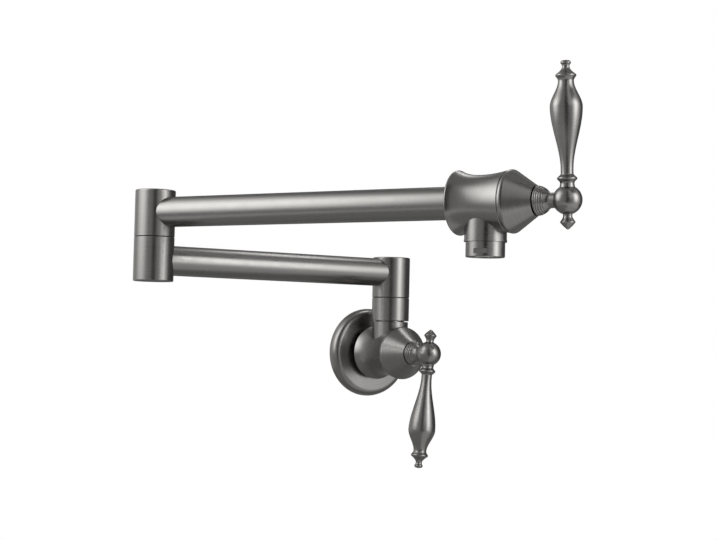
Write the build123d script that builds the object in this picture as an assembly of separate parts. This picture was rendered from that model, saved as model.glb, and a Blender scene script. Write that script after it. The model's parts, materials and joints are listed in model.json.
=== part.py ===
from build123d import *
import math
import os

# Wall mounted pot filler: a wall valve, two folding arms and a spout valve, with a turned lever on
# each valve.
#
# Millimetres.  The origin is the centre of the wall inlet, on the wall's face.  +Z is up, -Y points
# out of the wall into the room, and +X is to the right of someone who faces the wall.
#
# Both valves are the same turned casting.  They are drawn once in the valve's own frame: x runs along
# the valve from its upright axis towards the handle, z is up, and the wall is at negative x.

# ---------------------------------------------------------------- driving dimensions
# Where the arms stand
WALL_TO_POST = 34.6            # wall face to the upright axis of the wall valve
INNER_ARM_LENGTH = 209.9       # post axis to elbow axis
OUTER_ARM_LENGTH = 272.3       # elbow axis to nozzle axis
INNER_ARM_SWING = 2.2          # degrees that the inner arm stands out from the wall
OUTER_ARM_HEADING = 62.6       # degrees from +X to the outer arm, turned towards the room

# Fits
RUNNING = 0.08                 # radial clearance of a turning fit
FIXED = 0.04                   # radial clearance of a screwed, pressed or brazed fit
SEAM = 0.35                    # joint line between two faces that turn on each other
PARTING = 0.25                 # joint line between two screwed faces
EASE = 0.05                    # end play between stacked pieces
EDGE_BREAK = 0.25              # small chamfer on the edges of a joint line
PAST = 1.0                     # how far a cut runs past the face that it opens, and a boss into its body

# Arm tubes and the upright columns that they enter
TUBE_RADIUS = 11.0
TUBE_WALL = 1.3
COLUMN_RADIUS = 14.75
TUBE_SEAT = 8.0                # column axis to the end of a tube
WATERWAY_RADIUS = 6.0
COLUMN_ROUND = 0.9             # rounded end edge of a column
CHAMBER_ROOF = 5.0             # metal over the waterway at a column's end

# Upright stack on the wall valve, from the valve's axis up
STUB_TOP = 24.7
STUB_RADIUS = 14.2
NUT_GROOVE = 0.8               # open line between the stub and the swivel nut
NUT_HEIGHT = 18.2
NUT_LIP = 3.1
NECK_RADIUS = 12.0             # threaded neck of the stub, inside the nut
NECK_HEIGHT = 10.0
NECK_RELIEF_RADIUS = 11.0      # thread relief at the foot of the neck
NECK_RELIEF_HEIGHT = 2.0
JOURNAL_RADIUS = 9.0           # foot of the wall socket, which turns in the stub
JOURNAL_END = 14.5
JOURNAL_TOE = 3.4              # journal's foot to its first seal
CLIP_THICKNESS = 1.4
CLIP_DEPTH = 0.8
SLIP_THICKNESS = 1.5
WASHER_GAP = 0.4               # slip washer to the bore of the nut
SOCKET_BELOW_TUBE = 8.8
SOCKET_ABOVE_TUBE = 1.1

# Elbow
ELBOW_BELOW_INNER = 4.7
ELBOW_ABOVE_INNER = 5.6
ELBOW_BELOW_OUTER = 6.85
ELBOW_ABOVE_OUTER = 5.3
SPINDLE_RADIUS = 7.0
SPINDLE_BORE = 4.4
SPINDLE_ROOT = 9.4             # length screwed into the lower socket
SPINDLE_REACH = 12.6           # length that stands in the upper socket
SPINDLE_FLANGE = 9.0
SPINDLE_FLANGE_HEIGHT = 1.1
ELBOW_SLIP_RADIUS = 11.2
ELBOW_SLIP_THICKNESS = 1.0
GRUB_HEXAGON = 0.6             # the socket's corner radius, as a share of the screw's radius
GRUB_POINT = 0.3               # chamfer at the foot, likewise
GRUB_HEIGHT = 3.9              # seam to the grub screw's axis
GRUB_RADIUS = 2.0
GRUB_SUNK = 1.0                # how far its outer end lies below the column's face
GRUB_GROOVE_DEPTH = 1.0

# Valve casting
RIM_RADIUS = 21.3              # rounded rim at the back
RIM_BACK = 19.2                # upright axis to the rim's crest
RIM_ROUND = 1.4
RIM_FLARE = -0.55              # slope of the body just in front of the rim
WAIST_RADIUS = 17.8
WAIST_BACK = 2.9
SHOULDER_RADIUS = 20.1         # where the body meets the bonnet
SHOULDER_FRONT = 17.0
SHOULDER_FLARE = 0.22          # slope of the body where it meets the bonnet
SHANK_RADIUS = 16.6            # plain length of the wall valve behind the rim
INLET_RADIUS = 9.3             # minor radius of the half inch pipe thread
INLET_DEPTH = 16.0
TUBE_ENTRY = 6.0               # depth that the outer tube enters the spout valve
CAVITY_RADIUS = 10.6
SEAT_BACK = 9.0                # upright axis to the cartridge's seat
FEED_RADIUS = 5.2
FEED_LENGTH = 20.0
COUNTERBORE_RADIUS = 13.2
COUNTERBORE_DEPTH = 6.9

# Bonnet
BONNET_TIP_RADIUS = 9.9
BONNET_LENGTH = 18.8
BONNET_CREST_AT = 1.95         # bonnet's back to the crest of its rounded shoulder
BONNET_CREST_RADIUS = 20.6
BONNET_CREST_RISE = 0.5        # slope of the shoulder at the joint line
BONNET_CROWN = 3.55            # bonnet's back to the start of the cone
BONNET_CONE_FALL = -0.665      # slope of the cone
BONNET_BORE = 10.0
BONNET_MOUTH = 7.9
BONNET_FRONT_WALL = 4.0

# Quarter turn cartridge
SEAL_THICKNESS = 2.0
DISC_RADIUS = 8.0
DISC_THICKNESS = 3.0
CUP_WALL = 1.5
CUP_LENGTH = 13.0
FLANGE_THICKNESS = 2.4
NECK_OUTER = 7.3
NECK_TIP_GAP = 0.5             # bonnet's front face to the end of the cartridge
STEM_RADIUS = 4.6
STEM_CLIP_REACH = 2.0          # how far the clip stands out of the stem
STEM_FOOT_RADIUS = 3.9
STEM_SQUARE = 6.4              # across the flats of the stem's drive end
PORT_INNER = 2.0
PORT_OUTER = 6.6
WINDOW_LENGTH = 5.0
WINDOW_WIDTH = 8.0
RING_SECTION = 1.8             # cord diameter of the column seals
STEM_RING_SECTION = 1.3
CORD_LAND = 1.2                # metal left between a seal's groove and the next groove

# Handle hub
HUB_GAP = 0.8                  # bonnet to the hub's first bead
SKIRT_RADIUS = 9.7
HUB_BEADS = 4                  # turned beads that step down from the skirt
BEAD_PITCH = 1.5
BEAD_BULGE = 0.35
BEAD_FALL = 0.153              # times the square of the bead's number
COVE_LENGTH = 3.6              # last bead to the neck
COVE_SLOPE = -0.8              # of the cove at the last bead
HUB_NECK_RADIUS = 5.0
HUB_RECESS_RADIUS = 7.6
HUB_RECESS_DEPTH = 1.3
BALL_CENTRE = 57.2             # upright axis to the ball's centre
BALL_RADIUS = 9.4
DRIVE_DEPTH = 9.0              # length of the square socket in the hub
SET_SCREW_RADIUS = 2.0
SET_SCREW_LENGTH = 3.3
SET_SCREW_AT = 5.2             # from the skirt's back edge

# Turned lever.  Its foot is measured from the ball's centre and its head back from its tip.
WALL_LEVER_LEAN = -4.8         # degrees that the hanging lever leans about the valve's axis
SPOUT_LEVER_LEAN = 4.2
LEVER_LENGTH = 87.7            # ball's centre to the tip
LEVER_SEAT = 8.0               # ball's centre to the flat that the lever stands on
LEVER_ROOT_FLARE = -0.25       # slope of the root where it meets the ball
LEVER_ROOT_RADIUS = 4.5        # narrowest, between the ball and the collar
COLLAR_AT = 13.4
COLLAR_RADIUS = 6.35
COLLAR_BELOW = 2.9             # reach of the cove below the collar, and of the one above it
COLLAR_ABOVE = 3.1
COLLAR_EDGE = 0.9              # half the thickness of its rounded edge
COLLAR_STEEP = 1.1             # slope of the collar's coves at the edge
SLIM_AT = 19.0
SLIM_RADIUS = 4.0
BELLY_TO_TIP = 29.3
BELLY_RADIUS = 10.3
THROAT_TO_TIP = 13.1
THROAT_RADIUS = 4.95
CAP_TO_TIP = 9.8
CAP_RADIUS = 6.6
CAP_EDGE = 0.85
CAP_UNDER_SLOPE = 0.8          # slope of the cap's underside and of its top at the edge
CAP_TOP_SLOPE = -1.3
NIP_TO_TIP = 4.5
NIP_RADIUS = 2.4
BUTTON_TO_TIP = 1.8
BUTTON_RADIUS = 3.3
BUTTON_HALF = 0.9
BUTTON_TOP_SLOPE = -9          # of its nearly flat top, at the axis
LEVER_SPIGOT_RADIUS = 3.0
LEVER_SPIGOT_DEPTH = 5.4

# Finial on the other side of the ball
FINIAL_SEAT = 8.9              # ball's centre to the flat that the finial stands on
FINIAL_ROOT_FLARE = -0.15
FINIAL_NECK_RADIUS = 2.9
FINIAL_NECK_LENGTH = 1.2
FINIAL_EDGE_AT = 14.0
FINIAL_EDGE_RADIUS = 4.8
FINIAL_EDGE_HALF = 0.7
FINIAL_UNDER_SLOPE = 0.6
FINIAL_TOP_SLOPE = -0.8        # at the edge, and near the tip
FINIAL_POINT_SLOPE = -1.15
FINIAL_TIP = 18.7
FINIAL_TIP_RADIUS = 1.0
FINIAL_TIP_LENGTH = 0.5
FINIAL_SPIGOT_RADIUS = 2.1
FINIAL_SPIGOT_DEPTH = 3.6

# Nozzle and aerator, measured down from the valve's axis
NOZZLE_RADIUS = 13.75
NOZZLE_LENGTH = 25.75
NOZZLE_LIP = 0.2
NOZZLE_LIP_HEIGHT = 1.3
AERATOR_THREAD_RADIUS = 12.0
AERATOR_THREAD_LENGTH = 8.9
AERATOR_RADIUS = 12.75
AERATOR_LENGTH = 9.65
AERATOR_CHAMFER = 0.4
AERATOR_WALL = 1.9
AERATOR_LIP = 0.9
FLAT_WIDTH = 9.0               # wrench flats
FLAT_HEIGHT = 3.2
FLAT_DROP = 4.3
FLAT_CUTTER = 5.0              # depth of the cutter, more than the cut
FLAT_TURN = -78.4              # degrees from the valve's axis to the first flat
GASKET_THICKNESS = 1.6
GASKET_BORE = 7.5
SCREEN_THICKNESS = 0.5
SCREEN_DROP = 0.6
JET_RADIUS = 0.75
JET_PITCH = 2.9
JET_RINGS = 2
JET_PLATE = 3.0
INSERT_WALL = 1.2

# Escutcheon
ESCUTCHEON_RADIUS = 35.3
ESCUTCHEON_EDGE = 1.6          # height of its upright edge
CROWN_RADIUS = 30.0            # where the rounded side meets the face
CROWN_HEIGHT = 8.2
CROWN_RISE = 4.4               # reach of the rounded side's curve, up from the edge
CROWN_LEAN = 0.6
CROWN_RUN = 3.2                # and out from the crown
CROWN_FALL = 0.2
FACE_RISE = 0.9                # how much higher the face is at the bore
ESCUTCHEON_BORE_GAP = 0.35
GASKET_RECESS = 3.0
GASKET_INNER = 22.0
GASKET_OUTER = 32.0
GRIP_RING_AT = 3.0
GRIP_RING_SECTION = 2.2

# ---------------------------------------------------------------- places worked out from them
CASTING_BACK = RIM_BACK + RIM_ROUND
STUB_NECK_TOP = STUB_TOP + NECK_HEIGHT
NUT_BOTTOM = STUB_TOP + NUT_GROOVE
NUT_TOP = NUT_BOTTOM + NUT_HEIGHT
SOCKET_BOTTOM = NUT_TOP + SEAM
INNER_ARM_Z = SOCKET_BOTTOM + SOCKET_BELOW_TUBE + TUBE_RADIUS
SOCKET_TOP = INNER_ARM_Z + TUBE_RADIUS + SOCKET_ABOVE_TUBE
ELBOW_BOTTOM = INNER_ARM_Z - TUBE_RADIUS - ELBOW_BELOW_INNER
ELBOW_SEAM = INNER_ARM_Z + TUBE_RADIUS + ELBOW_ABOVE_INNER
UPPER_BOTTOM = ELBOW_SEAM + SEAM
OUTER_ARM_Z = UPPER_BOTTOM + ELBOW_BELOW_OUTER + TUBE_RADIUS
ELBOW_TOP = OUTER_ARM_Z + TUBE_RADIUS + ELBOW_ABOVE_OUTER
BONNET_BACK = SHOULDER_FRONT + PARTING
BONNET_FRONT = BONNET_BACK + BONNET_LENGTH
HUB_BACK = BONNET_FRONT + HUB_GAP
COUNTERBORE_FLOOR = SHOULDER_FRONT - COUNTERBORE_DEPTH
FLANGE_FRONT = COUNTERBORE_FLOOR + FLANGE_THICKNESS
CARTRIDGE_FRONT = BONNET_FRONT - NECK_TIP_GAP
DISC_BACK = -SEAT_BACK + SEAL_THICKNESS
DISC_MEETING = DISC_BACK + DISC_THICKNESS
STEM_BACK = DISC_MEETING + DISC_THICKNESS + EASE
CUP_FRONT = DISC_BACK + CUP_LENGTH
DRIVE_BACK = HUB_BACK + HUB_RECESS_DEPTH
AERATOR_TOP = NOZZLE_LENGTH + PARTING
AERATOR_BOTTOM = AERATOR_TOP + AERATOR_LENGTH
THREAD_ROOF = NOZZLE_LENGTH - AERATOR_THREAD_LENGTH - GASKET_THICKNESS

POST = Vector(0, -WALL_TO_POST, 0)
INNER_WAY = Vector(-1, 0, 0).rotate(Axis.Z, INNER_ARM_SWING)
OUTER_WAY = Vector(1, 0, 0).rotate(Axis.Z, -OUTER_ARM_HEADING)
ELBOW = POST + INNER_WAY * INNER_ARM_LENGTH
NOZZLE = ELBOW + OUTER_WAY * OUTER_ARM_LENGTH

WALL_VALVE = Plane(origin=POST, x_dir=(0, -1, 0), z_dir=(0, 0, 1))
SPOUT_VALVE = Plane(origin=NOZZLE + Vector(0, 0, OUTER_ARM_Z), x_dir=OUTER_WAY, z_dir=(0, 0, 1))
INNER_ARM = Plane(origin=POST, x_dir=INNER_WAY, z_dir=(0, 0, 1))
OUTER_ARM = Plane(origin=ELBOW, x_dir=OUTER_WAY, z_dir=(0, 0, 1))


# ---------------------------------------------------------------- shared operations
def rod_x(start, end, radius):
    """Round bar along x between two stations."""
    return Pos((start + end) / 2, 0, 0) * Rot(0, 90, 0) * Cylinder(radius, end - start)


def rod_z(bottom, top, radius):
    """Round bar along z between two heights."""
    return Pos(0, 0, (bottom + top) / 2) * Cylinder(radius, top - bottom)


def ring_x(start, end, inner, outer):
    return rod_x(start, end, outer) - rod_x(start - PAST, end + PAST, inner)


def ring_z(bottom, top, inner, outer):
    return rod_z(bottom, top, outer) - rod_z(bottom - PAST, top + PAST, inner)


def swell(start, start_slope, end, end_slope):
    """Smooth line from one (station, radius) to the next, with the slope that it has at each."""
    third = (end[0] - start[0]) / 3
    return Bezier(
        start,
        (start[0] + third, start[1] + start_slope * third),
        (end[0] - third, end[1] - end_slope * third),
        end,
    )


def turned(*lines):
    """Solid turned about x from the lines of a closed outline of (station, radius) points."""
    return revolve(Plane.XZ * make_face(Curve() + list(lines)), Axis.X)


def seal_ring(section, outer_radius):
    """Rubber ring about z, squeezed square in its groove, that just fits a bore of the given radius."""
    outer = outer_radius - EASE
    return ring_z(-section / 2, section / 2, outer - section, outer)


def ring_groove(section, outer_radius, height):
    """Cut round a shaft for a seal ring of the given section at a height."""
    half = section / 2 + EASE
    floor = outer_radius - section - 2 * EASE
    return ring_z(height - half, height + half, floor, outer_radius + PAST)


def cord_spacing(section):
    """From the middle of one seal groove to the middle of the next."""
    return section + 2 * EASE + CORD_LAND


def socket_head_grub(radius, length):
    """Headless screw along z with its foot at 0 and a hexagon socket in its outer end."""
    hexagon = RegularPolygon(radius * GRUB_HEXAGON, 6)
    socket = Pos(0, 0, length / 2) * extrude(hexagon, length)
    return chamfer(rod_z(0, length, radius).edges().sort_by(Axis.Z)[:1], radius * GRUB_POINT) - socket


# ---------------------------------------------------------------- valve casting and bonnet
def casting_outline(back_lines, back_point):
    """Turned outside of a valve body: rounded rim, waist and shoulder."""
    rim = (-RIM_BACK, RIM_RADIUS)
    rim_start = (-CASTING_BACK, RIM_RADIUS - RIM_ROUND)
    rim_side = RIM_ROUND * math.sqrt(0.5)
    rim_middle = (-RIM_BACK - rim_side, RIM_RADIUS - RIM_ROUND + rim_side)
    waist = (-WAIST_BACK, WAIST_RADIUS)
    shoulder = (SHOULDER_FRONT - EDGE_BREAK, SHOULDER_RADIUS)
    return turned(
        *back_lines,
        Line(back_point, rim_start),
        ThreePointArc(rim_start, rim_middle, rim),
        swell(rim, RIM_FLARE, waist, 0),
        swell(waist, 0, shoulder, SHOULDER_FLARE),
        Polyline(shoulder, (SHOULDER_FRONT, SHOULDER_RADIUS - EDGE_BREAK), (SHOULDER_FRONT, 0), (back_lines[0] @ 0)),
    )


def cartridge_chamber():
    """Space inside a valve body: feed, cartridge cavity and counterbore for the bonnet."""
    feed = rod_x(-SEAT_BACK - FEED_LENGTH, -SEAT_BACK + PAST, FEED_RADIUS)
    cavity = rod_x(-SEAT_BACK, SHOULDER_FRONT, CAVITY_RADIUS)
    counterbore = rod_x(COUNTERBORE_FLOOR, SHOULDER_FRONT + PAST, COUNTERBORE_RADIUS)
    return feed + cavity + counterbore


def wall_body():
    back = -WALL_TO_POST
    shank = Polyline((back, 0), (back, SHANK_RADIUS), (-CASTING_BACK, SHANK_RADIUS))
    body = casting_outline([shank], (-CASTING_BACK, SHANK_RADIUS))
    stub = rod_z(0, STUB_TOP, STUB_RADIUS)
    body += chamfer(stub.edges().sort_by(Axis.Z)[-1:], EDGE_BREAK) + rod_z(0, STUB_NECK_TOP, NECK_RADIUS)
    body -= ring_z(STUB_TOP, STUB_TOP + NECK_RELIEF_HEIGHT, NECK_RELIEF_RADIUS, NECK_RADIUS + PAST)
    body -= cartridge_chamber() & rod_x(back + INLET_DEPTH - PAST, SHOULDER_FRONT + PAST, 2 * RIM_RADIUS)
    body -= rod_x(back - PAST, back + INLET_DEPTH, INLET_RADIUS)
    body -= rod_z(JOURNAL_END - PAST, STUB_NECK_TOP + PAST, JOURNAL_RADIUS + RUNNING)
    body -= rod_z(0, JOURNAL_END, WATERWAY_RADIUS)
    return body


def spout_body():
    back_face = Line((-CASTING_BACK, 0), (-CASTING_BACK, TUBE_RADIUS))
    body = casting_outline([back_face], (-CASTING_BACK, TUBE_RADIUS))
    lip_top = -NOZZLE_LENGTH + NOZZLE_LIP_HEIGHT
    body += rod_z(-NOZZLE_LENGTH, 0, NOZZLE_RADIUS)
    body += rod_z(-NOZZLE_LENGTH, lip_top, NOZZLE_RADIUS + NOZZLE_LIP)
    entry_end = -CASTING_BACK + TUBE_ENTRY
    body -= cartridge_chamber() & rod_x(entry_end - PAST, SHOULDER_FRONT + PAST, 2 * RIM_RADIUS)
    body -= rod_x(-CASTING_BACK - PAST, entry_end, TUBE_RADIUS + FIXED)
    body -= rod_z(-NOZZLE_LENGTH - PAST, -THREAD_ROOF, AERATOR_THREAD_RADIUS + FIXED)
    body -= rod_z(-THREAD_ROOF - PAST, 0, WATERWAY_RADIUS)
    return body


def bonnet():
    """Cone with a rounded shoulder, and a spigot that screws into the casting's counterbore."""
    spigot_back = FLANGE_FRONT + EASE
    spigot_radius = COUNTERBORE_RADIUS - FIXED
    shoulder = (BONNET_BACK + EDGE_BREAK, SHOULDER_RADIUS)
    crest = (BONNET_BACK + BONNET_CREST_AT, BONNET_CREST_RADIUS)
    cone_start = (BONNET_BACK + BONNET_CROWN, BONNET_TIP_RADIUS - BONNET_CONE_FALL * (BONNET_LENGTH - BONNET_CROWN))
    cone = turned(
        Polyline((spigot_back, 0), (spigot_back, spigot_radius), (BONNET_BACK, spigot_radius),
                 (BONNET_BACK, SHOULDER_RADIUS - EDGE_BREAK), shoulder),
        swell(shoulder, BONNET_CREST_RISE, crest, 0),
        swell(crest, 0, cone_start, BONNET_CONE_FALL),
        Line(cone_start, (BONNET_FRONT, BONNET_TIP_RADIUS)),
        Polyline((BONNET_FRONT, BONNET_TIP_RADIUS), (BONNET_FRONT, 0), (spigot_back, 0)),
    )
    cone -= rod_x(spigot_back - PAST, BONNET_FRONT - BONNET_FRONT_WALL, BONNET_BORE)
    return cone - rod_x(spigot_back, BONNET_FRONT + PAST, BONNET_MOUTH)


# ---------------------------------------------------------------- cartridge
def ported_disc(start, radius, turn):
    """Ceramic disc with two opposite quarter openings."""
    reach = 2 * radius
    wedge = make_face(Polyline((0, 0), (reach, -reach), (reach, reach), (0, 0)))
    port = extrude(Plane.YZ.offset(start - PAST) * wedge, DISC_THICKNESS + 2 * PAST)
    port &= ring_x(start - PAST, start + DISC_THICKNESS + PAST, PORT_INNER, PORT_OUTER)
    disc = rod_x(start, start + DISC_THICKNESS, radius)
    for half_turn in (0, 180):
        disc -= Rot(turn + half_turn, 0, 0) * port
    return disc


def cartridge_housing():
    cup_radius = DISC_RADIUS + RUNNING + CUP_WALL
    housing = rod_x(DISC_BACK, COUNTERBORE_FLOOR, cup_radius)
    housing += rod_x(COUNTERBORE_FLOOR, FLANGE_FRONT, COUNTERBORE_RADIUS - FIXED)
    housing += rod_x(FLANGE_FRONT, CARTRIDGE_FRONT, NECK_OUTER)
    housing -= rod_x(DISC_BACK - PAST, CUP_FRONT, DISC_RADIUS + RUNNING)
    housing -= rod_x(DISC_BACK, CARTRIDGE_FRONT + PAST, STEM_RADIUS + RUNNING)
    window_middle = CUP_FRONT - WINDOW_LENGTH / 2
    housing -= Pos(window_middle, 0, 0) * Box(WINDOW_LENGTH, WINDOW_WIDTH, 3 * cup_radius)
    return housing - turn_to_x(ring_groove(RING_SECTION, CAVITY_RADIUS, body_ring_station()))


def turn_to_x(shape):
    """Turns a piece made about z so that its height runs along x."""
    return Rot(0, 90, 0) * shape


def body_ring_station():
    return COUNTERBORE_FLOOR - RING_SECTION


def body_ring():
    return Pos(body_ring_station(), 0, 0) * turn_to_x(seal_ring(RING_SECTION, CAVITY_RADIUS))


def stem_ring_stations():
    """Two seals side by side in the middle of the stem's bearing."""
    middle = (CUP_FRONT + CARTRIDGE_FRONT) / 2
    half = cord_spacing(STEM_RING_SECTION) / 2
    return [middle - half, middle + half]


def stem():
    clip_start = CARTRIDGE_FRONT + EASE
    shaft = rod_x(STEM_BACK, CUP_FRONT + PAST, STEM_FOOT_RADIUS)
    shaft += rod_x(CUP_FRONT - PAST, DRIVE_BACK, STEM_RADIUS)
    drive_length = DRIVE_DEPTH + PAST - EASE
    square = Box(drive_length, STEM_SQUARE, STEM_SQUARE, align=(Align.MIN, Align.CENTER, Align.CENTER))
    shaft += Pos(DRIVE_BACK - PAST, 0, 0) * square
    clip_end = clip_start + stem_clip_thickness()
    shaft -= ring_x(clip_start, clip_end, STEM_RADIUS - CLIP_DEPTH, STEM_RADIUS + PAST)
    for station in stem_ring_stations():
        shaft -= turn_to_x(ring_groove(STEM_RING_SECTION, STEM_RADIUS + RUNNING, station))
    return shaft


def stem_clip_thickness():
    return NECK_TIP_GAP + HUB_GAP / 2


def split_ring(start, thickness, inner, outer):
    """Sprung retaining ring about x with an open gap."""
    ring = ring_x(start, start + thickness, inner, outer)
    gap = Box(3 * thickness, outer, inner, align=(Align.CENTER, Align.MIN, Align.CENTER))
    return ring - Pos(start, 0, 0) * gap


def stem_clip():
    start = CARTRIDGE_FRONT + 2 * EASE
    inner = STEM_RADIUS - CLIP_DEPTH + FIXED
    return split_ring(start, stem_clip_thickness() - 2 * EASE, inner, STEM_RADIUS + STEM_CLIP_REACH)


def stem_rings():
    ring = turn_to_x(seal_ring(STEM_RING_SECTION, STEM_RADIUS + RUNNING))
    return Compound(children=[Pos(station, 0, 0) * ring for station in stem_ring_stations()])


# ---------------------------------------------------------------- handle
def bead_joint(index):
    """Valley in front of a bead of the hub: each lies lower than the one before."""
    return HUB_BACK + index * BEAD_PITCH, SKIRT_RADIUS - BEAD_BULGE - BEAD_FALL * index**2


def hub_bead(index):
    """Rounded turned bead between two valleys."""
    (start, low), (end, high) = bead_joint(index), bead_joint(index + 1)
    return ThreePointArc((start, low), ((start + end) / 2, (low + high) / 2 + BEAD_BULGE), (end, high))


def ball_flat(distance):
    """Radius of the flat cut on the ball at a distance from its centre."""
    return math.sqrt(BALL_RADIUS**2 - distance**2)


def hub():
    """Beaded skirt, cove, neck and ball in one turned piece, with a flat for the lever and the finial."""
    cove_start = bead_joint(HUB_BEADS)
    neck_start = (cove_start[0] + COVE_LENGTH, HUB_NECK_RADIUS)
    ball_touch = (BALL_CENTRE - math.sqrt(BALL_RADIUS**2 - HUB_NECK_RADIUS**2), HUB_NECK_RADIUS)
    ball_front = (BALL_CENTRE + BALL_RADIUS, 0)
    shell = turned(
        Line((HUB_BACK, 0), bead_joint(0)),
        *[hub_bead(index) for index in range(HUB_BEADS)],
        swell(cove_start, COVE_SLOPE, neck_start, 0),
        Line(neck_start, ball_touch),
        ThreePointArc(ball_touch, (BALL_CENTRE, BALL_RADIUS), ball_front),
        Line(ball_front, (HUB_BACK, 0)),
    )
    shell -= rod_x(HUB_BACK - PAST, DRIVE_BACK, HUB_RECESS_RADIUS)
    broach = STEM_SQUARE + 2 * FIXED
    socket = Box(DRIVE_DEPTH, broach, broach, align=(Align.MIN, Align.CENTER, Align.CENTER))
    shell -= Pos(DRIVE_BACK, 0, 0) * socket
    lever_hole = rod_z(BALL_RADIUS - LEVER_SPIGOT_DEPTH - EASE, BALL_RADIUS, LEVER_SPIGOT_RADIUS + FIXED)
    lever_hole += rod_z(LEVER_SEAT, BALL_RADIUS + PAST, BALL_RADIUS)
    finial_hole = rod_z(-BALL_RADIUS, -BALL_RADIUS + FINIAL_SPIGOT_DEPTH + EASE, FINIAL_SPIGOT_RADIUS + FIXED)
    finial_hole += rod_z(-BALL_RADIUS - PAST, -FINIAL_SEAT, BALL_RADIUS)
    shell -= Pos(BALL_CENTRE, 0, 0) * (lever_hole + finial_hole)
    return shell - set_screw_place() * rod_z(0, 2 * SKIRT_RADIUS, SET_SCREW_RADIUS + FIXED)


def set_screw_place():
    """The set screw enters the hub on the finial's side and bears on a flat of the stem."""
    return Pos(HUB_BACK + SET_SCREW_AT, 0, -STEM_SQUARE / 2 - FIXED) * Rot(180, 0, 0)


def set_screw():
    return set_screw_place() * socket_head_grub(SET_SCREW_RADIUS, SET_SCREW_LENGTH)


def upright_turned(*lines):
    """Turned piece that stands on the ball, from (distance, radius) lines."""
    return Pos(BALL_CENTRE, 0, 0) * Rot(0, -90, 0) * turned(*lines)


def rounded_edge(middle, half, radius):
    """Narrow round edge of a turned disc, from just below its middle to just above it."""
    shoulder = radius - half / 2
    return ThreePointArc((middle - half, shoulder), (middle, radius), (middle + half, shoulder))


def lever():
    """Turned lever: collar, slim waist, belly, sharp edged cap and button."""
    def below_tip(distance, radius):
        return LEVER_LENGTH - distance, radius

    spigot_end = BALL_RADIUS - LEVER_SPIGOT_DEPTH
    seat = (LEVER_SEAT, ball_flat(LEVER_SEAT))
    collar_low = (COLLAR_AT - COLLAR_BELOW, LEVER_ROOT_RADIUS)
    collar = rounded_edge(COLLAR_AT, COLLAR_EDGE, COLLAR_RADIUS)
    collar_high = (COLLAR_AT + COLLAR_ABOVE, SLIM_RADIUS)
    slim = (SLIM_AT, SLIM_RADIUS)
    belly = below_tip(BELLY_TO_TIP, BELLY_RADIUS)
    throat = below_tip(THROAT_TO_TIP, THROAT_RADIUS)
    cap = rounded_edge(LEVER_LENGTH - CAP_TO_TIP, CAP_EDGE, CAP_RADIUS)
    nip = below_tip(NIP_TO_TIP, NIP_RADIUS)
    button = rounded_edge(LEVER_LENGTH - BUTTON_TO_TIP, BUTTON_HALF, BUTTON_RADIUS)
    return upright_turned(
        Polyline((spigot_end, 0), (spigot_end, LEVER_SPIGOT_RADIUS), (LEVER_SEAT, LEVER_SPIGOT_RADIUS), seat),
        swell(seat, LEVER_ROOT_FLARE, collar_low, 0),
        swell(collar_low, 0, corner(collar, 0), COLLAR_STEEP),
        collar,
        swell(corner(collar, 1), -COLLAR_STEEP, collar_high, 0),
        Line(collar_high, slim),
        swell(slim, 0, belly, 0),
        swell(belly, 0, throat, 0),
        swell(throat, 0, corner(cap, 0), CAP_UNDER_SLOPE),
        cap,
        swell(corner(cap, 1), CAP_TOP_SLOPE, nip, 0),
        swell(nip, 0, corner(button, 0), 1),
        button,
        swell(corner(button, 1), -1, (LEVER_LENGTH, 0), BUTTON_TOP_SLOPE),
        Line((LEVER_LENGTH, 0), (spigot_end, 0)),
    )


def corner(edge, end):
    """(station, radius) of one end of an edge."""
    point = edge @ end
    return point.X, point.Y


def finial():
    """Small spear opposite the lever, drawn upwards and turned over."""
    spigot_end = BALL_RADIUS - FINIAL_SPIGOT_DEPTH
    seat = (FINIAL_SEAT, ball_flat(FINIAL_SEAT))
    neck_end = (FINIAL_SEAT + FINIAL_NECK_LENGTH, FINIAL_NECK_RADIUS)
    edge = rounded_edge(FINIAL_EDGE_AT, FINIAL_EDGE_HALF, FINIAL_EDGE_RADIUS)
    tip_start = (FINIAL_TIP - FINIAL_TIP_LENGTH, FINIAL_TIP_RADIUS)
    spear = upright_turned(
        Polyline((spigot_end, 0), (spigot_end, FINIAL_SPIGOT_RADIUS), (FINIAL_SEAT, FINIAL_SPIGOT_RADIUS), seat),
        swell(seat, FINIAL_ROOT_FLARE, neck_end, 0),
        swell(neck_end, 0, corner(edge, 0), FINIAL_UNDER_SLOPE),
        edge,
        swell(corner(edge, 1), FINIAL_TOP_SLOPE, tip_start, FINIAL_POINT_SLOPE),
        swell(tip_start, FINIAL_POINT_SLOPE, (FINIAL_TIP, 0), -4),
        Line((FINIAL_TIP, 0), (spigot_end, 0)),
    )
    return Rot(180, 0, 0) * spear


def valve_inside(name):
    """Bonnet and cartridge pieces that stay with a valve's body."""
    return {
        f"{name}_bonnet": bonnet(),
        f"{name}_cartridge_housing": cartridge_housing(),
        f"{name}_fixed_disc": ported_disc(DISC_BACK, DISC_RADIUS, 0),
        f"{name}_seat_seal": ring_x(-SEAT_BACK, DISC_BACK, FEED_RADIUS, DISC_RADIUS),
        f"{name}_cartridge_o_ring": body_ring(),
    }


def handle_pieces(name):
    """Pieces that turn with a lever.  The lever points up."""
    return {
        f"{name}_stem": stem(),
        f"{name}_moving_disc": ported_disc(DISC_MEETING + EASE, DISC_RADIUS, 90),
        f"{name}_stem_o_rings": stem_rings(),
        f"{name}_stem_clip": stem_clip(),
        f"{name}_handle_hub": hub(),
        f"{name}_lever": lever(),
        f"{name}_finial": finial(),
        f"{name}_hub_set_screw": set_screw(),
    }


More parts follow.
